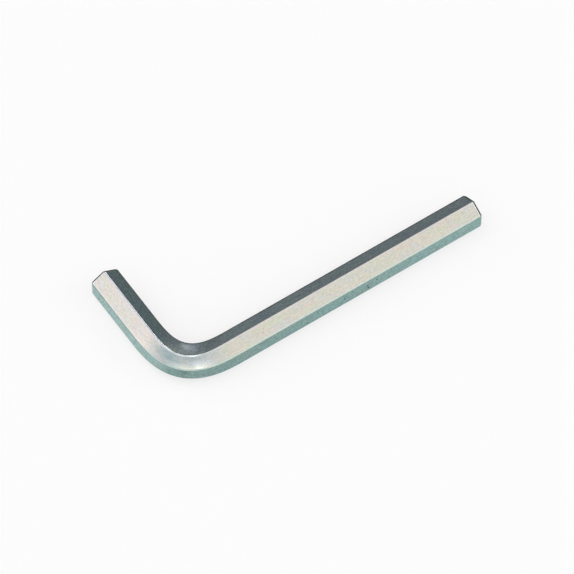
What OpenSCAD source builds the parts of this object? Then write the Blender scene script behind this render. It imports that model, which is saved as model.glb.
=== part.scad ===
/* [Bar] */
// Width of the hexagonal bar, measured across two opposite flats
across_flats = 8; // [5:0.5:10]
// Radius of the bar's six long edges
edge_r = 0.4; // [0.1:0.05:0.8]

/* [Arms] */
// Overall length along the long arm, from its tip to the outer flat of the short arm
long_reach = 96; // [70:0.5:160]
// Overall length along the short arm, from its tip to the outer flat of the long arm
short_reach = 40; // [34:0.5:60]

/* [Bend] */
// Length of bar that takes up the bend, measured along the bar's middle
bend_run = 27.3; // [22:0.1:34]
// How far the curve gathers at mid-bend: 0 bends evenly, 1 fades in and out completely
bend_gather = 0.85; // [0:0.05:1]
// Share by which bending fattens the bar's inner side, and thins its outer side, at mid-bend
mid_squeeze = 0.2; // [0:0.01:0.3]
// How much further the upper and lower ridges are drawn outwards at mid-bend
ridge_drift = 0.25; // [0:0.05:0.8]

/* [Tips] */
// Length along the bar of the bevel round each cut tip
tip_bevel_run = 0.45; // [0.1:0.05:1.2]
// Depth into each flat of the bevel round each cut tip
tip_bevel_drop = 0.45; // [0.1:0.05:1.2]

/* [Hidden] */
SIDES = 6;
SIDE_ANGLE = 360 / SIDES;
BEND_ANGLE = 90;
// Facets across each rounded edge, and lengths of bar that the bend is made of
EDGE_STEPS = 4;
BEND_STEPS = 40;
STEEL = [0.66, 0.65, 0.60];

half_flats = across_flats / 2;
ridge_height = half_flats / cos(SIDE_ANGLE / 2);

// The bar's section as [out, up] points, where out is towards the outside of the bend.
// Two flats stand upright, one ridge points up and one down.
bar_section = [
    for (corner = [0 : SIDES - 1], step = [0 : EDGE_STEPS])
        let (
            corner_angle = (corner + 1 / 2) * SIDE_ANGLE,
            edge_angle = corner_angle + (step / EDGE_STEPS - 1 / 2) * SIDE_ANGLE,
            edge_centre = (half_flats - edge_r) / cos(SIDE_ANGLE / 2)
        )
        edge_centre * [cos(corner_angle), sin(corner_angle)]
            + edge_r * [cos(edge_angle), sin(edge_angle)]
];

// How far the bar has turned, in degrees, at a share of the bend from 0 to 1
function turned_at(share) = BEND_ANGLE * (share - bend_gather * sin(360 * share) / (2 * PI));

// The section at a share of the bend. Its inner side, pressed together, spreads up and down, and
// its outer side, drawn out, thins. The flats sink towards the inside, and the ridges drift outwards.
function bent_section(share) =
    let (
        fullness = (1 - cos(360 * share)) / 2,
        squeeze = mid_squeeze / half_flats * fullness,
        drift = ridge_drift * fullness * fullness
    )
    [
        for (point = bar_section)
            let (out = point[0], up = point[1], ridgeward = max(0, 2 * abs(up) / ridge_height - 1))
            [
                out - squeeze * (out * out - up * up) / 2 + drift * ridgeward,
                up * (1 - squeeze * out)
            ]
    ];

// A section stood across the bar, where the bar's middle is and turned as the bar has turned there
function ring(middle, turned, section) = [
    for (point = section)
        let (place = middle - point[0] * [sin(turned), cos(turned)])
        [place[0], place[1], point[1]]
];

// The bar's middle through the bend, from the long arm to the short one, as short straight steps
bend_steps = [
    for (i = [0 : BEND_STEPS - 1])
        let (turned = turned_at((i + 1 / 2) / BEND_STEPS))
        bend_run / BEND_STEPS * [-cos(turned), sin(turned)]
];

function total(steps, count) =
    count == 0 ? [0, 0] : total(steps, count - 1) + steps[count - 1];

// The arms' middles cross at the origin, and the bend cuts that corner off at this distance
bend_reach = total(bend_steps, BEND_STEPS)[1];
long_tip = [long_reach - half_flats, 0];
short_tip = [0, short_reach - half_flats];

bar_rings = concat(
    [ring(long_tip, 0, bar_section)],
    [
        for (i = [0 : BEND_STEPS])
            let (share = i / BEND_STEPS, middle = [bend_reach, 0] + total(bend_steps, i))
            ring(middle, turned_at(share), bent_section(share))
    ],
    [ring(short_tip, BEND_ANGLE, bar_section)]
);

// From the bar's middle down to the ridge that the key lies on
rest_height = max([for (loop = bar_rings, point = loop) point[2]]);

// A closed skin over rings of equally many points, with a flat cap at each end
module skin(rings) {
    count = len(rings[0]);
    last = len(rings) - 1;
    polyhedron(
        points = [for (loop = rings, point = loop) point],
        faces = concat(
            [[for (j = [0 : count - 1]) j]],
            [
                for (i = [0 : last - 1], j = [0 : count - 1], half = [0, 1])
                    let (here = i * count + j, beside = i * count + (j + 1) % count)
                    half == 0
                        ? [here, here + count, beside]
                        : [beside, here + count, beside + count]
            ],
            [[for (j = [count - 1 : -1 : 0]) last * count + j]]
        )
    );
}

// Wedges that bevel the six flats of a bar that lies along X and ends at the origin
module tip_bevels() {
    for (side = [0 : SIDES - 1])
        rotate([side * SIDE_ANGLE, 0, 0])
            linear_extrude(height = across_flats, center = true)
                polygon([
                    [-2 * tip_bevel_run, half_flats + tip_bevel_drop],
                    [tip_bevel_run, half_flats - 2 * tip_bevel_drop],
                    [tip_bevel_run, half_flats + tip_bevel_drop]
                ]);
}

// The key lies on its lower ridge, with the middle of its outline over the origin
module hex_key() {
    color(STEEL)
        translate([half_flats - long_reach / 2, half_flats - short_reach / 2, rest_height])
            difference() {
                skin(bar_rings);
                translate(long_tip)
                    tip_bevels();
                translate(short_tip)
                    rotate([0, 0, BEND_ANGLE])
                        tip_bevels();
            }
}

hex_key();
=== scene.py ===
"""The looks of a plated hex key: one hexagonal bar, drawn, cut, bevelled at its tips and bent."""
import logging
import math
from dataclasses import dataclass, field
from enum import Enum

import bmesh
import bpy
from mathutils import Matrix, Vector


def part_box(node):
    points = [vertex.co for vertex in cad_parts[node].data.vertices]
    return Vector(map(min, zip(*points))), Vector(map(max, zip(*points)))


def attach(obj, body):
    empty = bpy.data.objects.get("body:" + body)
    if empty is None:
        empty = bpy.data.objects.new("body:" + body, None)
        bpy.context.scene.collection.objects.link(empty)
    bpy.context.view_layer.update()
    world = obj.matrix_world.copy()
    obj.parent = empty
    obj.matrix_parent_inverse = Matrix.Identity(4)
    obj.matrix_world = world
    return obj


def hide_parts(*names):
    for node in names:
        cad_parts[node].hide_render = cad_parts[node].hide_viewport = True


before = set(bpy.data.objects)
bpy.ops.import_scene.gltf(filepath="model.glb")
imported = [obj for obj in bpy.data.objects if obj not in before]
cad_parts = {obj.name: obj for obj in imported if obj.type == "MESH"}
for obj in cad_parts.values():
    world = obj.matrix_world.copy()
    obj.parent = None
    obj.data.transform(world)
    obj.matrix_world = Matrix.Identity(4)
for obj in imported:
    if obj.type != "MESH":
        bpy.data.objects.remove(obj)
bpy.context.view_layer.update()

LOG = logging.getLogger("hex_key")
MM = 0.001

Colour = tuple[float, float, float, float]
# A range, from its first number to its second
Span = tuple[float, float]

SIDES = 6
# Half the angle that one side takes up round the bar's middle
HALF_SIDE = math.pi / SIDES
# The bevel operator's shape for a round edge
ROUND = 0.5


class Arm(Enum):
    """The two arms of the key, each with its driving tip."""

    LONG = "long"
    SHORT = "short"


class Surface(Enum):
    """What a face of the bar was made by, which is also its material's place on the mesh."""

    DRAWN = 0
    CUT = 1


@dataclass(frozen=True)
class Dent:
    """A small knock on the outer side of the bar.

    The knock lies on the arm at from_tip, and round the section at side_angle, which is 0 at the
    middle of the flat on the outside of the bend and 90 at the upper ridge.
    """

    arm: Arm
    from_tip: float
    side_angle: float
    reach: float
    depth: float


@dataclass(frozen=True)
class BarSizes:
    """The driving sizes of the key, in metres."""

    long_reach: float
    short_reach: float
    across_flats: float = 8 * MM
    edge_radius: float = 0.4 * MM
    bend_run: float = 27.3 * MM
    bend_gather: float = 0.85
    mid_squeeze: float = 0.2
    ridge_drift: float = 0.25 * MM
    tip_bevel_run: float = 0.6 * MM
    tip_bevel_drop: float = 0.45 * MM

    @property
    def half_flats(self) -> float:
        """From the bar's middle to a flat."""
        return self.across_flats / 2

    @property
    def ridge_height(self) -> float:
        """From the bar's middle to where two flats would meet, were the edge between them sharp."""
        return self.half_flats / math.cos(HALF_SIDE)


class Bend:
    """The bar's middle line: straight, then a right-angled bend that tightens and eases, then straight."""

    STEPS = 400

    def __init__(self, sizes: BarSizes) -> None:
        """Works out the bend's middle line in short steps.

        Args:
            sizes: The key's driving sizes.
        """
        self.sizes = sizes
        step = sizes.bend_run / self.STEPS
        self.places = [Vector((0.0, 0.0))]
        for i in range(self.STEPS):
            turned = self.turned_at((i + 0.5) / self.STEPS)
            self.places.append(self.places[-1] + step * Vector((-math.cos(turned), math.sin(turned))))
        self.reach = self.places[-1].y
        self.long_straight = sizes.long_reach - sizes.half_flats - self.reach
        self.short_straight = sizes.short_reach - sizes.half_flats - self.reach
        self.length = self.long_straight + sizes.bend_run + self.short_straight

    def turned_at(self, share: float) -> float:
        """Gives how far the bar has turned at a share of the bend.

        Args:
            share: From 0 at the long arm to 1 at the short one.

        Returns:
            The angle in radians.
        """
        return math.pi / 2 * (share - self.sizes.bend_gather * math.sin(math.tau * share) / math.tau)

    def share_at(self, run: float) -> float:
        """Gives the share of the bend that lies behind a place on the bar.

        Args:
            run: Distance along the bar from the long tip.

        Returns:
            The share, from 0 to 1.
        """
        return min(max((run - self.long_straight) / self.sizes.bend_run, 0.0), 1.0)

    def middle_at(self, run: float) -> Vector:
        """Gives the middle of the bar, from the corner where the two arms' middles cross.

        Args:
            run: Distance along the bar from the long tip.

        Returns:
            The place as (x, y).
        """
        start = Vector((self.reach, 0.0))
        if run <= self.long_straight:
            return start + Vector((self.long_straight - run, 0.0))
        past = run - self.long_straight - self.sizes.bend_run
        if past >= 0:
            return start + self.places[-1] + Vector((0.0, past))
        exact = self.share_at(run) * self.STEPS
        i = min(int(exact), self.STEPS - 1)
        return start + self.places[i].lerp(self.places[i + 1], exact - i)

    def bent(self, run: float, out: float, up: float) -> Vector:
        """Gives where a point of the straight bar lies once the bar is bent.

        The inner side of the section is pressed together and spreads up and down, the outer side is
        drawn out and thins, the flats sink towards the inside and the ridges drift outwards.

        Args:
            run: Distance along the bar from the long tip.
            out: Distance from the bar's middle towards the outside of the bend.
            up: Height over the bar's middle.

        Returns:
            The place, from the corner where the two arms' middles cross.
        """
        share = self.share_at(run)
        fullness = (1 - math.cos(math.tau * share)) / 2
        squeeze = self.sizes.mid_squeeze / self.sizes.half_flats * fullness
        ridgeward = max(0.0, 2 * abs(up) / self.sizes.ridge_height - 1)
        drift = self.sizes.ridge_drift * fullness * fullness * ridgeward
        pulled = out - squeeze * (out * out - up * up) / 2 + drift
        turned = self.turned_at(share)
        place = self.middle_at(run) - pulled * Vector((math.sin(turned), math.cos(turned)))
        return Vector((place.x, place.y, up * (1 - squeeze * out)))


@dataclass
class BentBar:
    """The key itself: a hexagonal bar with rounded edges, bevelled tips and a bend."""

    sizes: BarSizes
    lowest_corner: Vector
    dents: tuple[Dent, ...]
    edge_segments: int = 4
    flat_cuts: int = 11
    ring_spacing: float = 0.25 * MM
    rim_radius: float = 0.1 * MM
    rim_segments: int = 2
    bend: Bend = field(init=False)

    # How far the normals of the tips' bevels, and at least how far those of the cut ends, lean along the bar
    BEVEL_LEAN = (0.3, 0.9)
    CUT_LEAN = 0.99

    def __post_init__(self) -> None:
        """Works out the bar's middle line."""
        self.bend = Bend(self.sizes)

    def section(self, bm: bmesh.types.BMesh) -> None:
        """Makes the drawn section as one face, with X outwards and Y up.

        Args:
            bm: The empty mesh to make it in.
        """
        bmesh.ops.create_circle(bm, cap_ends=True, segments=SIDES, radius=self.sizes.ridge_height)
        bmesh.ops.bevel(
            bm, geom=bm.verts[:], affect="VERTICES", offset_type="OFFSET", profile=ROUND, material=-1,
            offset=self.sizes.edge_radius * math.tan(HALF_SIDE), segments=self.edge_segments,
        )
        flats = [edge for edge in bm.edges if edge.calc_length() > self.sizes.half_flats / 2]
        bmesh.ops.subdivide_edges(bm, edges=flats, cuts=self.flat_cuts)

    def draw_out(self, bm: bmesh.types.BMesh) -> None:
        """Draws the section out into the straight bar, along Z from the long tip, and bevels both tips.

        Args:
            bm: The mesh that holds the section.
        """
        bevel = self.sizes.tip_bevel_run
        section = bm.faces[:]
        bmesh.ops.translate(bm, verts=bm.verts[:], vec=(0, 0, bevel))
        self.add_length(bm, section, self.bend.length - 2 * bevel, 1.0, keep=True)
        ends = sorted(bm.faces, key=lambda face: len(face.verts))[-2:]
        near, far = sorted(ends, key=lambda face: face.calc_center_median().z)
        drawn_in = 1 - self.sizes.tip_bevel_drop / self.sizes.half_flats
        self.add_length(bm, [far], bevel, drawn_in)
        self.add_length(bm, [near], -bevel, drawn_in)
        bmesh.ops.recalc_face_normals(bm, faces=bm.faces[:])

    def add_length(self, bm: bmesh.types.BMesh, faces: list[bmesh.types.BMFace], length: float,
                   scale: float, keep: bool = False) -> None:
        """Draws faces out along Z and scales the end that this makes.

        Args:
            bm: The mesh.
            faces: The faces to draw out.
            length: How far they go.
            scale: What the new end is scaled by.
            keep: Whether the faces stay where they were too.
        """
        made = bmesh.ops.extrude_face_region(bm, geom=faces, use_keep_orig=keep)
        moved = [item for item in made["geom"] if isinstance(item, bmesh.types.BMVert)]
        bmesh.ops.translate(bm, verts=moved, vec=(0, 0, length))
        bmesh.ops.scale(bm, verts=moved, vec=(scale, scale, 1))
        if not keep:
            bmesh.ops.delete(bm, geom=[face for face in faces if face.is_valid], context="FACES_ONLY")

    def soften_tips(self, bm: bmesh.types.BMesh) -> None:
        """Takes the sharpness off the tips' bevels, and marks the cut ends.

        Args:
            bm: The mesh that holds the straight bar.
        """
        low, high = self.BEVEL_LEAN
        rims = [
            edge for edge in bm.edges
            if abs(edge.verts[0].co.z - edge.verts[1].co.z) < self.rim_radius / 2
            and any(low < abs(face.normal.z) < high for face in edge.link_faces)
        ]
        bmesh.ops.bevel(
            bm, geom=rims, affect="EDGES", offset_type="OFFSET", offset=self.rim_radius,
            segments=self.rim_segments, profile=ROUND, material=-1, clamp_overlap=False,
        )
        for face in bm.faces:
            surface = Surface.CUT if abs(face.normal.z) > self.CUT_LEAN else Surface.DRAWN
            face.material_index = surface.value

    def ring(self, bm: bmesh.types.BMesh) -> None:
        """Divides the bar's length into short rings, fine enough for the bend and the dents.

        Args:
            bm: The mesh that holds the straight bar.
        """
        lengthwise = [edge for edge in bm.edges if edge.calc_length() > self.bend.length / 2]
        cuts = round(self.bend.length / self.ring_spacing)
        bmesh.ops.subdivide_edges(bm, edges=lengthwise, cuts=cuts, use_grid_fill=True)

    def knock(self, run: float, out: float, up: float) -> tuple[float, float, float]:
        """Moves a point of the section inwards where a dent reaches it.

        Args:
            run: Distance along the bar from the long tip.
            out: Distance from the bar's middle towards the outside of the bend.
            up: Height over the bar's middle.

        Returns:
            The point's new distances outwards and up, and how far into a dent it is, from 0 to 1.
        """
        deepest = 0.0
        for dent in self.dents:
            at = dent.from_tip if dent.arm is Arm.LONG else self.bend.length - dent.from_tip
            if abs(run - at) > dent.reach:
                continue
            side_angle = math.radians(dent.side_angle)
            to_surface = self.sizes.half_flats / math.cos(min(abs(side_angle), HALF_SIDE))
            middle = to_surface * Vector((math.cos(side_angle), math.sin(side_angle)))
            away = Vector((run - at, out - middle.x, up - middle.y)).length / dent.reach
            if away < 1:
                knocked = (1 - away * away) ** 2
                inwards = dent.depth * knocked / math.hypot(out, up)
                out, up = out * (1 - inwards), up * (1 - inwards)
                deepest = max(deepest, knocked)
        return out, up, deepest

    def build(self) -> bpy.types.Object:
        """Makes the key's mesh, with each point's place on the straight bar kept as an attribute.

        Returns:
            The key, standing where the frame's own solid lies.
        """
        bm = bmesh.new()
        self.section(bm)
        self.draw_out(bm)
        self.soften_tips(bm)
        self.ring(bm)
        place = bm.verts.layers.float_vector.new("bar_place")
        knocked = bm.verts.layers.float.new("knock")
        to_corner = Vector((self.sizes.half_flats, self.sizes.half_flats, self.rest_height()))
        corner = self.lowest_corner + to_corner
        for vert in bm.verts:
            out, up, run = vert.co
            vert[place] = Vector((run, out, up))
            out, up, vert[knocked] = self.knock(run, out, up)
            vert.co = corner + self.bend.bent(run, out, up)
        bmesh.ops.recalc_face_normals(bm, faces=bm.faces[:])
        for face in bm.faces:
            face.smooth = True
        mesh = bpy.data.meshes.new("hex_key_bar")
        bm.to_mesh(mesh)
        bm.free()
        key = bpy.data.objects.new("hex_key_bar", mesh)
        bpy.context.scene.collection.objects.link(key)
        return key

    def rest_height(self) -> float:
        """From the lower ridge that the key lies on up to the bar's middle."""
        low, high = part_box("hex_key")
        return (high.z - low.z) / 2


@dataclass(frozen=True)
class Pattern:
    """A noise pattern: its scale, its detail, and what lengths along the bar are multiplied by first."""

    scale: float
    detail: float
    roughness: float = 0.5
    along: float = 1.0


BLOTCHES = Pattern(560.0, 2.0, along=0.35)
GRAIN = Pattern(2400.0, 2.0, roughness=0.7, along=0.5)
DRAW_LINES = Pattern(3000.0, 3.0, roughness=0.6, along=0.05)
DRAW_LINE_PATCHES = Pattern(300.0, 2.0)
PEEL = Pattern(1900.0, 3.0, roughness=0.65, along=0.4)
PIT_PATCHES = Pattern(700.0, 1.0)
DULL_AND_REFLECTION_CLOUDS = Pattern(330.0, 3.0, roughness=0.6)
BENCH_SPECKLE = Pattern(1800.0, 3.0, roughness=0.7)


class NodeTree:
    """A short way to add nodes to a tree and join them."""

    def __init__(self, tree: bpy.types.NodeTree) -> None:
        """Keeps the tree that nodes are added to."""
        self.tree = tree

    def add(self, kind: str, **settings: object) -> bpy.types.Node:
        """Adds a node.

        Args:
            kind: The node's type name.
            settings: The node's own properties.

        Returns:
            The new node.
        """
        node = self.tree.nodes.new(kind)
        for name, value in settings.items():
            setattr(node, name, value)
        return node

    def join(self, value: object, socket: bpy.types.NodeSocket) -> None:
        """Links an output to an input, or sets the input to a plain value.

        Args:
            value: The output or the plain value.
            socket: The input.
        """
        if isinstance(value, bpy.types.NodeSocket):
            self.tree.links.new(value, socket)
        else:
            socket.default_value = value

    def math(self, operation: str, *values: object) -> bpy.types.NodeSocket:
        """Adds a Math node.

        Args:
            operation: The node's operation.
            values: An output or a number for each input.

        Returns:
            The result.
        """
        node = self.add("ShaderNodeMath", operation=operation)
        for value, socket in zip(values, node.inputs):
            self.join(value, socket)
        return node.outputs[0]

    def vector_math(self, operation: str, first: object, second: object,
                    output: str = "Vector") -> bpy.types.NodeSocket:
        """Adds a Vector Math node.

        Args:
            operation: The node's operation.
            first: A vector or an output.
            second: A vector or an output.
            output: The output that is wanted.

        Returns:
            That output.
        """
        node = self.add("ShaderNodeVectorMath", operation=operation)
        self.join(first, node.inputs[0])
        self.join(second, node.inputs[1])
        return node.outputs[output]

    def between(self, value: object, low: float, high: float, to_low: float = 0.0,
                to_high: float = 1.0) -> bpy.types.NodeSocket:
        """Maps a value smoothly from one range onto another.

        Args:
            value: The value, an output or a number.
            low: The lower end of its range.
            high: The upper end of its range.
            to_low: What the lower end becomes.
            to_high: What the upper end becomes.

        Returns:
            The mapped value.
        """
        node = self.add("ShaderNodeMapRange", interpolation_type="SMOOTHSTEP")
        for given, name in ((value, "Value"), (low, "From Min"), (high, "From Max"),
                            (to_low, "To Min"), (to_high, "To Max")):
            self.join(given, node.inputs[name])
        return node.outputs["Result"]

    def between_angles(self, angle: object, low: float, high: float) -> bpy.types.NodeSocket:
        """Maps an angle in radians smoothly from a range in degrees onto 0 to 1."""
        return self.between(angle, math.radians(low), math.radians(high))

    def mix(self, share: object, first: object, second: object) -> bpy.types.NodeSocket:
        """Mixes two colours.

        Args:
            share: How much of the second shows.
            first: A colour or an output.
            second: A colour or an output.

        Returns:
            The mixed colour.
        """
        node = self.add("ShaderNodeMix", data_type="RGBA")
        self.join(share, node.inputs["Factor"])
        self.join(first, node.inputs["A"])
        self.join(second, node.inputs["B"])
        return node.outputs["Result"]

    def noise(self, pattern: Pattern, place: object, output: str = "Fac") -> bpy.types.NodeSocket:
        """Adds a Noise Texture.

        Args:
            pattern: What it looks like.
            place: The coordinates that it reads.
            output: The output that is wanted.

        Returns:
            That output.
        """
        node = self.add("ShaderNodeTexNoise", noise_dimensions="3D")
        stretched = self.vector_math("MULTIPLY", place, (pattern.along, 1.0, 1.0))
        for given, name in ((stretched, "Vector"), (pattern.scale, "Scale"), (pattern.detail, "Detail"),
                            (pattern.roughness, "Roughness")):
            self.join(given, node.inputs[name])
        return node.outputs[output]

    def bump(self, height: object, distance: float, strength: float) -> bpy.types.Node:
        """Adds a Bump node.

        Args:
            height: The height, an output.
            distance: How high a height of 1 stands.
            strength: How much of it shows.

        Returns:
            The node, so that one bump can lie over another.
        """
        node = self.add("ShaderNodeBump")
        for given, name in ((height, "Height"), (distance, "Distance"), (strength, "Strength")):
            self.join(given, node.inputs[name])
        return node


class NodeGroup(NodeTree):
    """A shader node group with named inputs and outputs."""

    KINDS = {float: "NodeSocketFloat", Vector: "NodeSocketVector", tuple: "NodeSocketColor"}

    def __init__(self, name: str, inputs: dict[str, object], outputs: dict[str, type]) -> None:
        """Makes the group's sockets.

        Args:
            name: The group's name.
            inputs: Each input's name, with its value to start from.
            outputs: Each output's name, with its type.
        """
        super().__init__(bpy.data.node_groups.new(name, "ShaderNodeTree"))
        sockets = self.tree.interface
        for label, value in inputs.items():
            socket = sockets.new_socket(label, in_out="INPUT", socket_type=self.KINDS[type(value)])
            socket.default_value = value
        for label, kind in outputs.items():
            sockets.new_socket(label, in_out="OUTPUT", socket_type=self.KINDS[kind])
        self.given = self.add("NodeGroupInput").outputs
        self.result = self.add("NodeGroupOutput").inputs

    def on_bar(self) -> tuple[bpy.types.NodeSocket, bpy.types.NodeSocket]:
        """Gives where the group's Place input lies on the straight bar.

        Returns:
            The distance from the long tip, and the angle round the section in radians: 0 at the middle
            of the outer flat, half of pi at either ridge and pi at the middle of the inner flat.
        """
        apart = self.add("ShaderNodeSeparateXYZ")
        self.join(self.given["Place"], apart.inputs[0])
        angle = self.math("ARCTAN2", self.math("ABSOLUTE", apart.outputs["Z"]), apart.outputs["Y"])
        return apart.outputs["X"], angle


ORIGIN = Vector((0, 0, 0))
PLAIN_GREY = (0.6, 0.6, 0.6, 1)
BLOTCH_TINTS = ("Rose", "Moss", "Steel")
EDGE_PAINTED_LIGHT = ("Upper Edge Painted Light", "Lower Edge Painted Light", "Inner Edge Painted Shade")
BLOTCH_LEVELS = (0.47, 0.66)
# Degrees from the middle of a long edge over which its painted highlight or painted shade fades in
EDGE_PAINTED_LIGHT_REACH = (8, 3)
# Degrees round the section, from the middle of the outer flat, over which these places begin
PAST_OUTER_FLAT = (28.5, 30.5)
ON_OUTER_FLAT = (31, 28)
TOWARDS_RIDGE = (45, 75)
PAST_RIDGE = (91, 94)
# How much is added to the grain's strength on the outer flat, and past the ridge
OUTER_GRAIN = 0.9
INNER_GRAIN = 2.0


def plating_colour() -> bpy.types.NodeTree:
    """Makes the group for the plating's colour: faint blotches, painted highlights and painted shade along
    the long edges, and fine grain.

    Returns:
        The group.
    """
    tints = dict.fromkeys(("Plain",) + BLOTCH_TINTS + EDGE_PAINTED_LIGHT, PLAIN_GREY)
    group = NodeGroup("plating_colour", {"Place": ORIGIN, **tints, "Strength": 0.6, "Grain": 0.1},
                      {"Color": tuple, "Cloud": float})
    place = group.given["Place"]
    blotches = group.add("ShaderNodeSeparateColor")
    group.join(group.noise(BLOTCHES, place, "Color"), blotches.inputs[0])
    colour = group.given["Plain"]
    for blotch, tint in zip(blotches.outputs, BLOTCH_TINTS):
        share = group.math("MULTIPLY", group.between(blotch, *BLOTCH_LEVELS), group.given["Strength"])
        colour = group.mix(share, colour, group.given[tint])
    angle = group.on_bar()[1]
    # Painted light along the long edges: a painted highlight strip beside the ridge and beside the lower
    # edge of the outer-upper flat, and painted dark lines beside the edges on the inner side of the ridge
    edge = group.mix(group.between_angles(angle, *TOWARDS_RIDGE), group.given["Lower Edge Painted Light"],
                     group.given["Upper Edge Painted Light"])
    inner = group.between_angles(angle, *PAST_RIDGE)
    edge = group.mix(inner, edge, group.given["Inner Edge Painted Shade"])
    from_edge = group.math("PINGPONG", group.math("SUBTRACT", angle, HALF_SIDE), HALF_SIDE)
    painted_edge_light_mask = group.math("MULTIPLY", group.between_angles(from_edge, *EDGE_PAINTED_LIGHT_REACH),
                             group.between_angles(angle, *PAST_OUTER_FLAT))
    colour = group.mix(painted_edge_light_mask, colour, edge)
    outer = group.between_angles(angle, *ON_OUTER_FLAT)
    stronger = group.math("MULTIPLY_ADD", inner, INNER_GRAIN, 1.0)
    stronger = group.math("MULTIPLY_ADD", outer, OUTER_GRAIN, stronger)
    depth = group.math("MULTIPLY", group.given["Grain"], stronger)
    grain = group.math("SUBTRACT", group.noise(GRAIN, place), 0.5)
    level = group.math("MULTIPLY_ADD", grain, depth, 1.0)
    group.join(group.vector_math("MULTIPLY", colour, level), group.result["Color"])
    group.join(blotches.outputs[2], group.result["Cloud"])
    return group.tree


DRAW_LINE_LEVELS = (0.5, 0.68)
DRAW_LINE_PATCH_LEVELS = (0.35, 0.65)


def draw_marks() -> bpy.types.NodeTree:
    """Makes the group for the fine lines that the drawing die leaves along the bar.

    Returns:
        The group.
    """
    group = NodeGroup("draw_marks", {"Place": ORIGIN, "Fineness": DRAW_LINES.scale},
                      {"Height": float, "Line": float})
    place = group.given["Place"]
    height = group.noise(DRAW_LINES, place)
    group.join(group.given["Fineness"], height.node.inputs["Scale"])
    patches = group.between(group.noise(DRAW_LINE_PATCHES, place), *DRAW_LINE_PATCH_LEVELS)
    line = group.between(height, *DRAW_LINE_LEVELS)
    group.join(height, group.result["Height"])
    group.join(group.math("MULTIPLY", line, patches), group.result["Line"])
    return group.tree


PIT_REACH = (0.22, 0.06)
PIT_PATCH_LEVEL = 0.62


def fine_pits() -> bpy.types.NodeTree:
    """Makes the group for the plating's fine orange peel and its few dark pinholes.

    Returns:
        The group.
    """
    group = NodeGroup("fine_pits", {"Place": ORIGIN, "Fineness": 900.0},
                      {"Height": float, "Pit": float})
    place = group.given["Place"]
    cells = group.add("ShaderNodeTexVoronoi", voronoi_dimensions="3D", feature="F1")
    group.join(place, cells.inputs["Vector"])
    group.join(group.given["Fineness"], cells.inputs["Scale"])
    pit = group.between(cells.outputs["Distance"], *PIT_REACH)
    chosen = group.math("GREATER_THAN", group.noise(PIT_PATCHES, place), PIT_PATCH_LEVEL)
    pit = group.math("MULTIPLY", pit, chosen)
    group.join(group.math("SUBTRACT", group.noise(PEEL, place), pit), group.result["Height"])
    group.join(pit, group.result["Pit"])
    return group.tree


# Distance from the group's Middle, as a share of its Reach, over which the dulling and the painted
# reflection fade in
DULL_AND_REFLECTION_ALONG = (1.0, 0.3)
# Degrees round the section, from the middle of the outer flat, over which it fades in from either side
DULL_AND_REFLECTION_FROM = (48, 62)
DULL_AND_REFLECTION_UP_TO = (96, 84)
DULL_AND_REFLECTION_CLOUD_LEVELS = (0.36, 0.6)


def bend_dulling_and_painted_reflection() -> bpy.types.NodeTree:
    """Makes the group for the patch outside each ridge at the bend, where the plating is duller and a
    painted reflection of the camera darkens it.

    Returns:
        The group.
    """
    group = NodeGroup("bend_dulling_and_painted_reflection", {"Place": ORIGIN, "Middle": 0.0, "Reach": 1.0}, {"Dull And Painted Reflection": float})
    run, angle = group.on_bar()
    away = group.math("ABSOLUTE", group.math("SUBTRACT", run, group.given["Middle"]))
    near = group.between(group.math("DIVIDE", away, group.given["Reach"]), *DULL_AND_REFLECTION_ALONG)
    band = group.math("MULTIPLY", group.between_angles(angle, *DULL_AND_REFLECTION_FROM),
                      group.between_angles(angle, *DULL_AND_REFLECTION_UP_TO))
    cloud = group.between(group.noise(DULL_AND_REFLECTION_CLOUDS, group.given["Place"]), *DULL_AND_REFLECTION_CLOUD_LEVELS)
    group.join(group.math("MULTIPLY", group.math("MULTIPLY", near, band), cloud), group.result["Dull And Painted Reflection"])
    return group.tree


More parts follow.
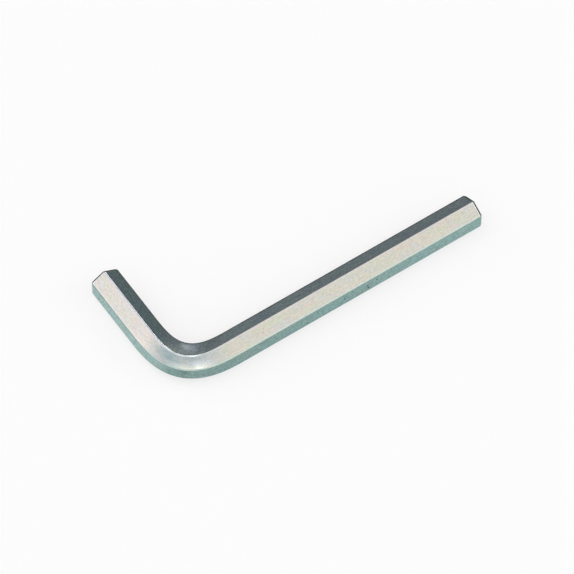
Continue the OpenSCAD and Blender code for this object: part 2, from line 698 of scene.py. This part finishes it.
@dataclass(frozen=True)
class PlatedSteel:
    """Bright plating over drawn steel.

    The tints are named as the inputs of the plating_colour group. The strengths are shares of the tints
    that show, the depths are in metres, and at the bend the plating is dulled and a painted reflection of
    the camera darkens it, round a middle and as far as a reach that are both shares of the bend's length.
    """

    name: str
    tints: dict[str, Colour]
    roughness: float
    tint_strength: float
    grain: float
    line_strength: float
    line_depth: float
    peel_depth: float
    bump_strength: float = 0.5
    line_tint: Colour = (0.42, 0.44, 0.43, 1)
    pit_tint: Colour = (0.2, 0.22, 0.21, 1)
    pit_strength: float = 0.5
    # painted reflection of the camera, a dark grey-green laid on the plating at the bend
    painted_reflection_tint: Colour = (0.42, 0.47, 0.46, 1)
    dull_and_reflection_strength: float = 0.7
    dull_and_reflection_middle: float = 0.56
    dull_and_reflection_reach: float = 0.4
    dull_rougher: float = 0.15
    cloud_rougher: float = 0.06
    cloud_levels: Span = (0.4, 0.65)
    # a darker colour laid in the knocks
    knock_darkening: Colour = (0.10, 0.14, 0.13, 1)
    knock_darkening_levels: Span = (0.15, 0.7)

    def material(self, groups: dict[str, bpy.types.NodeTree], bend: Bend) -> bpy.types.Material:
        """Makes the material.

        Args:
            groups: The shared node groups, by name.
            bend: The key's bend, where the plating is duller and a painted reflection darkens it.

        Returns:
            The material.
        """
        made = bpy.data.materials.new(self.name)
        made.use_nodes = True
        nodes = NodeTree(made.node_tree)
        shader = made.node_tree.nodes["Principled BSDF"]
        place = nodes.add("ShaderNodeAttribute", attribute_name="bar_place").outputs["Vector"]
        used = {label: nodes.add("ShaderNodeGroup", node_tree=group) for label, group in groups.items()}
        for node in used.values():
            nodes.join(place, node.inputs["Place"])
        plating, dulling_and_reflection = used["plating_colour"], used["bend_dulling_and_painted_reflection"]
        for label, value in {**self.tints, "Strength": self.tint_strength, "Grain": self.grain}.items():
            plating.inputs[label].default_value = value
        bend_run = bend.sizes.bend_run
        dulling_and_reflection.inputs["Middle"].default_value = bend.long_straight + self.dull_and_reflection_middle * bend_run
        dulling_and_reflection.inputs["Reach"].default_value = self.dull_and_reflection_reach * bend_run
        # the bend's patch is rougher, and its darker colour is a painted reflection of the camera
        dull_and_painted_reflection = nodes.math("MULTIPLY", dulling_and_reflection.outputs["Dull And Painted Reflection"], self.dull_and_reflection_strength)
        nodes.join(self.base_colour(nodes, used, dull_and_painted_reflection), shader.inputs["Base Color"])
        shader.inputs["Metallic"].default_value = 1.0
        clouded = nodes.between(plating.outputs["Cloud"], *self.cloud_levels, self.roughness,
                                self.roughness + self.cloud_rougher)
        rough = nodes.math("MULTIPLY_ADD", dull_and_painted_reflection, self.dull_rougher, clouded)
        nodes.join(rough, shader.inputs["Roughness"])
        lines = nodes.bump(used["draw_marks"].outputs["Height"], self.line_depth, self.bump_strength)
        peel = nodes.bump(used["fine_pits"].outputs["Height"], self.peel_depth, self.bump_strength)
        nodes.join(lines.outputs["Normal"], peel.inputs["Normal"])
        nodes.join(peel.outputs["Normal"], shader.inputs["Normal"])
        return made

    def base_colour(self, nodes: NodeTree, used: dict[str, bpy.types.Node],
                    dull_and_painted_reflection: bpy.types.NodeSocket) -> bpy.types.NodeSocket:
        """Lays the bend's painted reflection, draw lines, pits and a darker colour in the knocks over the
        plating's colour.

        Args:
            nodes: The material's nodes.
            used: The material's own group nodes, by name.
            dull_and_painted_reflection: How dull the plating is, which is also how much of the painted
                reflection shows.

        Returns:
            The colour.
        """
        line = nodes.math("MULTIPLY", used["draw_marks"].outputs["Line"], self.line_strength)
        pit = nodes.math("MULTIPLY", used["fine_pits"].outputs["Pit"], self.pit_strength)
        knock = nodes.add("ShaderNodeAttribute", attribute_name="knock").outputs["Fac"]
        darkened_in_knocks = nodes.between(knock, *self.knock_darkening_levels)
        colour = used["plating_colour"].outputs["Color"]
        for share, tint in ((dull_and_painted_reflection, self.painted_reflection_tint), (line, self.line_tint), (pit, self.pit_tint),
                            (darkened_in_knocks, self.knock_darkening)):
            colour = nodes.mix(share, colour, tint)
        return colour


def soft_patch() -> bpy.types.NodeTree:
    """Makes the group that masks an oval, soft-edged part of the surroundings.

    Returns:
        The group.
    """
    group = NodeGroup(
        "soft_patch",
        {"Direction": ORIGIN, "Middle": Vector((0, 0, 1)), "Sideways": Vector((1, 0, 0)),
         "Upwards": Vector((0, 1, 0)), "Softness": 0.3},
        {"Mask": float},
    )
    ahead, sideways, upwards = (
        group.vector_math("DOT_PRODUCT", group.given["Direction"], group.given[label], "Value")
        for label in ("Middle", "Sideways", "Upwards")
    )
    squared = group.math("ADD", group.math("POWER", sideways, 2.0), group.math("POWER", upwards, 2.0))
    soft = group.given["Softness"]
    inside = group.between(group.math("SQRT", squared), group.math("ADD", 1.0, soft),
                           group.math("SUBTRACT", 1.0, soft))
    facing = group.math("GREATER_THAN", ahead, 0.0)
    group.join(group.math("MULTIPLY", inside, facing), group.result["Mask"])
    return group.tree


@dataclass(frozen=True)
class SoftPatch:
    """An oval, soft-edged part of the studio's surroundings, seen from the key.

    The azimuth turns from +X towards +Y. All angles are in degrees, and the half sizes reach to
    the middle of the soft edge.
    """

    name: str
    azimuth: float
    elevation: float
    half_width: float
    half_height: float
    softness: float
    colour: Colour

    def axes(self) -> tuple[Vector, Vector, Vector]:
        """Gives how the patch stands.

        Returns:
            The directions of its middle, of its side and of its top.
        """
        azimuth, elevation = math.radians(self.azimuth), math.radians(self.elevation)
        ahead = Vector((math.cos(azimuth), math.sin(azimuth), 0))
        middle = ahead * math.cos(elevation) + Vector((0, 0, math.sin(elevation)))
        side = Vector((-math.sin(azimuth), math.cos(azimuth), 0))
        return middle, side, middle.cross(side)

    def mask(self, nodes: NodeTree, direction: bpy.types.NodeSocket,
             group: bpy.types.NodeTree) -> bpy.types.NodeSocket:
        """Adds the patch's mask.

        Args:
            nodes: The world's nodes.
            direction: The direction that is looked in.
            group: The soft_patch group.

        Returns:
            The mask, 1 inside the patch.
        """
        middle, side, top = self.axes()
        made = nodes.add("ShaderNodeGroup", node_tree=group)
        nodes.join(direction, made.inputs["Direction"])
        nodes.join(middle, made.inputs["Middle"])
        nodes.join(side / math.sin(math.radians(self.half_width)), made.inputs["Sideways"])
        nodes.join(top / math.sin(math.radians(self.half_height)), made.inputs["Upwards"])
        nodes.join(self.softness, made.inputs["Softness"])
        return made.outputs["Mask"]


@dataclass(frozen=True)
class BenchTop:
    """The bench top that only the metal reflects: teal outside the L, slate within it and past the tips.

    Each place is where one colour fades into the next, along X or Y from the frame's origin.
    """

    teal: Colour = (0.355, 0.545, 0.58, 1)
    pale_teal: Colour = (0.5, 0.71, 0.74, 1)
    slate: Colour = (0.07, 0.08, 0.085, 1)
    paler_y: Span = (-13 * MM, -8 * MM)
    within_x: Span = (-47 * MM, -43 * MM)
    within_y: Span = (-19 * MM, -15 * MM)
    past_long_x: Span = (50 * MM, 55 * MM)
    past_long_y: Span = (-30 * MM, -22 * MM)
    past_short_y: Span = (26 * MM, 31 * MM)
    brighter_x: Span = (-30 * MM, 50 * MM)
    brightness: Span = (0.94, 1.08)
    speckle_levels: Span = (0.3, 0.7)
    speckle: Span = (0.76, 1.24)

    def material(self) -> bpy.types.Material:
        """Makes the bench top's material.

        Returns:
            The material.
        """
        made = bpy.data.materials.new("bench_in_reflections")
        made.use_nodes = True
        made.node_tree.nodes.clear()
        nodes = NodeTree(made.node_tree)
        place = nodes.add("ShaderNodeTexCoord").outputs["Object"]
        apart = nodes.add("ShaderNodeSeparateXYZ")
        nodes.join(place, apart.inputs[0])
        x, y = apart.outputs["X"], apart.outputs["Y"]
        within = nodes.math("MULTIPLY", nodes.between(x, *self.within_x), nodes.between(y, *self.within_y))
        past_long = nodes.math("MULTIPLY", nodes.between(x, *self.past_long_x),
                               nodes.between(y, *self.past_long_y))
        past_tips = nodes.math("MAXIMUM", past_long, nodes.between(y, *self.past_short_y))
        colour = nodes.mix(nodes.between(y, *self.paler_y), self.teal, self.pale_teal)
        colour = nodes.mix(nodes.math("MAXIMUM", within, past_tips), colour, self.slate)
        speckle = nodes.between(nodes.noise(BENCH_SPECKLE, place), *self.speckle_levels, *self.speckle)
        brightness = nodes.between(x, *self.brighter_x, *self.brightness)
        glow = nodes.add("ShaderNodeEmission")
        nodes.join(colour, glow.inputs["Color"])
        nodes.join(nodes.math("MULTIPLY", speckle, brightness), glow.inputs["Strength"])
        output = nodes.add("ShaderNodeOutputMaterial")
        nodes.join(glow.outputs[0], output.inputs["Surface"])
        return made


@dataclass
class Studio:
    """The floor, the light and the camera.

    The camera stands round the key by azimuth and elevation, in degrees, and sees frame_width at target.
    """

    patches: tuple[SoftPatch, ...]
    bench_top: BenchTop = BenchTop()
    bench_height: float = 0.02 * MM
    sky: Colour = (1.06, 1.04, 1.01, 1)
    horizon: Colour = (0.5, 0.55, 0.55, 1)
    sky_heights: Span = (0.02, 0.3)
    backdrop: Colour = (0.97, 0.97, 0.97, 1)
    floor_colour: Colour = (0.32, 0.32, 0.32, 1)
    floor_lift: Colour = (1.0, 0.981, 0.975, 1)
    lift_strength: float = 0.683
    floor_size: float = 3.0
    azimuth: float = -34.02
    elevation: float = 57.52
    distance: float = 2.0
    target: Vector = Vector((-5.82, -8.53, 4.63)) * MM
    frame_width: float = 149.0 * MM
    sensor_width: float = 36.0
    clip_start: float = 0.05

    def light(self) -> None:
        """Makes the studio's soft surroundings, which the camera itself sees as plain white."""
        world = bpy.data.worlds.new("studio")
        bpy.context.scene.world = world
        world.use_nodes = True
        world.node_tree.nodes.clear()
        nodes = NodeTree(world.node_tree)
        direction = nodes.add("ShaderNodeTexCoord").outputs["Generated"]
        apart = nodes.add("ShaderNodeSeparateXYZ")
        nodes.join(direction, apart.inputs[0])
        colour = nodes.mix(nodes.between(apart.outputs["Z"], *self.sky_heights), self.horizon, self.sky)
        group = soft_patch()
        for patch in self.patches:
            colour = nodes.mix(patch.mask(nodes, direction, group), colour, patch.colour)
        seen = nodes.add("ShaderNodeLightPath").outputs["Is Camera Ray"]
        background = nodes.add("ShaderNodeBackground")
        nodes.join(nodes.mix(seen, colour, self.backdrop), background.inputs["Color"])
        output = nodes.add("ShaderNodeOutputWorld")
        nodes.join(background.outputs[0], output.inputs["Surface"])

    def floor(self) -> None:
        """Makes the pale floor, whose shadow is soft and faint."""
        material = bpy.data.materials.new("pale_floor")
        material.use_nodes = True
        nodes = NodeTree(material.node_tree)
        shader = material.node_tree.nodes["Principled BSDF"]
        for name, value in (("Base Color", self.floor_colour), ("Roughness", 0.9),
                            ("Specular IOR Level", 0.0), ("Emission Color", self.floor_lift)):
            shader.inputs[name].default_value = value
        seen = nodes.add("ShaderNodeLightPath").outputs["Is Camera Ray"]
        nodes.join(nodes.math("MULTIPLY", seen, self.lift_strength), shader.inputs["Emission Strength"])
        floor = self.plane("floor", 0.0, material)
        floor.visible_glossy = False

    def bench(self) -> None:
        """Lays the bench top just over the floor, where only reflections show it."""
        top = self.plane("bench_in_reflections", self.bench_height, self.bench_top.material())
        top.visible_camera = top.visible_diffuse = top.visible_shadow = top.visible_transmission = False

    def plane(self, name: str, height: float, material: bpy.types.Material) -> bpy.types.Object:
        """Makes a level square that isn't part of the object.

        Args:
            name: The square's name.
            height: Its height.
            material: Its material.

        Returns:
            The square.
        """
        bm = bmesh.new()
        bmesh.ops.create_grid(bm, x_segments=1, y_segments=1, size=self.floor_size)
        bmesh.ops.translate(bm, verts=bm.verts[:], vec=(0, 0, height))
        mesh = bpy.data.meshes.new(name)
        bm.to_mesh(mesh)
        bm.free()
        made = bpy.data.objects.new(name, mesh)
        mesh.materials.append(material)
        bpy.context.scene.collection.objects.link(made)
        return made

    def camera(self) -> None:
        """Makes the camera, which looks down over the outside of the bend through a long lens."""
        data = bpy.data.cameras.new("camera")
        made = bpy.data.objects.new("camera", data)
        bpy.context.scene.collection.objects.link(made)
        data.sensor_width = self.sensor_width
        data.lens = data.sensor_width * self.distance / self.frame_width
        data.clip_start = self.clip_start
        azimuth, elevation = math.radians(self.azimuth), math.radians(self.elevation)
        level = Vector((math.sin(azimuth), -math.cos(azimuth), 0))
        back = level * math.cos(elevation) + Vector((0, 0, math.sin(elevation)))
        made.location = self.target + back * self.distance
        made.rotation_mode = "QUATERNION"
        made.rotation_quaternion = (-back).to_track_quat("-Z", "Y")
        bpy.context.scene.camera = made


KNOCKS = (
    Dent(Arm.LONG, 33.4 * MM, 10, 0.45 * MM, 0.14 * MM),
    Dent(Arm.LONG, 36.0 * MM, -14, 0.60 * MM, 0.14 * MM),
    Dent(Arm.LONG, 36.3 * MM, 2, 0.50 * MM, 0.12 * MM),
    Dent(Arm.LONG, 41.0 * MM, -28, 0.35 * MM, 0.08 * MM),
    Dent(Arm.LONG, 42.3 * MM, -5, 0.40 * MM, 0.12 * MM),
    Dent(Arm.LONG, 43.4 * MM, 1, 0.45 * MM, 0.14 * MM),
    Dent(Arm.SHORT, 3.6 * MM, -16, 0.50 * MM, 0.12 * MM),
)

DRAWN_FACE = PlatedSteel(
    name="plated_steel",
    tints={
        "Plain": (0.655, 0.635, 0.56, 1),
        "Rose": (0.70, 0.60, 0.555, 1),
        "Moss": (0.61, 0.655, 0.52, 1),
        "Steel": (0.61, 0.63, 0.63, 1),
        # painted highlight strips beside the ridge and the lower edge, and painted shade beside the edges on
        # the inner side
        "Upper Edge Painted Light": (0.665, 0.665, 0.665, 1),
        "Lower Edge Painted Light": (0.69, 0.72, 0.64, 1),
        "Inner Edge Painted Shade": (0.47, 0.48, 0.44, 1),
    },
    roughness=0.1, tint_strength=0.58, grain=0.42, line_strength=0.16,
    line_depth=0.004 * MM, peel_depth=0.012 * MM,
)
CUT_FACE = PlatedSteel(
    name="plated_cut_steel",
    tints={
        "Plain": (0.58, 0.57, 0.52, 1),
        "Rose": (0.62, 0.55, 0.5, 1),
        "Moss": (0.54, 0.57, 0.48, 1),
        "Steel": (0.48, 0.5, 0.49, 1),
        # on the cut ends the painted edge light is a darker grey, painted shade
        **dict.fromkeys(EDGE_PAINTED_LIGHT, (0.5, 0.52, 0.5, 1)),
    },
    roughness=0.36, tint_strength=0.8, grain=0.3, line_strength=0.2,
    line_depth=0.004 * MM, peel_depth=0.03 * MM,
)

SURROUNDINGS = (
    SoftPatch("ceiling", -121.5, 46, 37.5, 9.8, 0.15, (1.47, 1.45, 1.53, 1)),
    SoftPatch("bright side", 146, 43.5, 16, 20, 0.35, (1.15, 1.12, 1.18, 1)),
    SoftPatch("brightest side", 150, 42, 4.6, 14, 0.4, (1.28, 1.21, 1.24, 1)),
    SoftPatch("front", -78.5, 42, 17, 11, 0.55, (0.85, 0.92, 1.01, 1)),
    SoftPatch("front card", -68, 27, 20, 12, 0.55, (1.1, 1.15, 1.03, 1)),
    SoftPatch("viewer", -170.5, 23, 40.5, 16, 0.68, (0.51, 0.68, 0.82, 1)),
    SoftPatch("viewer's arm", -107.5, 31.3, 33.5, 9.5, 0.56, (0.60, 0.71, 0.79, 1)),
    SoftPatch("low window", -145, 4, 45, 14, 0.3, (1.25, 1.3, 1.18, 1)),
    SoftPatch("overhead", 40, 54, 30, 30, 0.25, (0.10, 0.12, 0.12, 1)),
    SoftPatch("backdrop", 60, -6.7, 50, 33.5, 0.2, (0.205, 0.262, 0.31, 1)),
    SoftPatch("darker side", 19, 16.5, 21.5, 20, 0.6, (0.13, 0.18, 0.21, 1)),
    SoftPatch("past the long tip", 0, 4, 11, 10, 0.3, (0.07, 0.08, 0.085, 1)),
    SoftPatch("dark post", 67, 5, 4.5, 8, 0.5, (0.16, 0.20, 0.24, 1)),
    SoftPatch("window", 53.5, 16.1, 4.6, 2.8, 0.8, (0.54, 0.63, 0.71, 1)),
    SoftPatch("lamp beside the viewer", -116, 56, 6, 11, 0.35, (4.4, 4.6, 5.0, 1)),
    SoftPatch("lamp over the bend", 66, 75, 4, 4, 0.3, (5.4, 5.8, 6.4, 1)),
    SoftPatch("lamp past the bend", 40, 40.5, 4.3, 8, 0.4, (4.8, 5.0, 5.4, 1)),
    SoftPatch("lamp before the long tip", -33, 33, 9, 9, 0.4, (2.6, 2.7, 2.9, 1)),
    SoftPatch("lamp past the short tip", 118, 22, 7, 9, 0.4, (2.6, 2.7, 2.9, 1)),
    SoftPatch("lamp over the short arm", 118, 70, 5, 4, 0.3, (3.8, 4, 4.5, 1)),
)


def main() -> None:
    """Builds the key, dresses it, and sets the studio round it."""
    logging.basicConfig(level=logging.INFO, format="%(message)s")
    bpy.context.scene.view_settings.view_transform = "Standard"
    low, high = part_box("hex_key")
    sizes = BarSizes(long_reach=high.x - low.x, short_reach=high.y - low.y)
    bar = BentBar(sizes=sizes, lowest_corner=low, dents=KNOCKS)
    key = bar.build()
    groups = {
        "plating_colour": plating_colour(),
        "draw_marks": draw_marks(),
        "fine_pits": fine_pits(),
        "bend_dulling_and_painted_reflection": bend_dulling_and_painted_reflection(),
    }
    for finish in (DRAWN_FACE, CUT_FACE):
        key.data.materials.append(finish.material(groups, bar.bend))
    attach(key, "root")
    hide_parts("hex_key")
    LOG.info("%s: %d points, %d faces", key.name, len(key.data.vertices), len(key.data.polygons))
    studio = Studio(patches=SURROUNDINGS)
    studio.light()
    studio.floor()
    studio.bench()
    studio.camera()


if __name__ == "__main__":
    main()
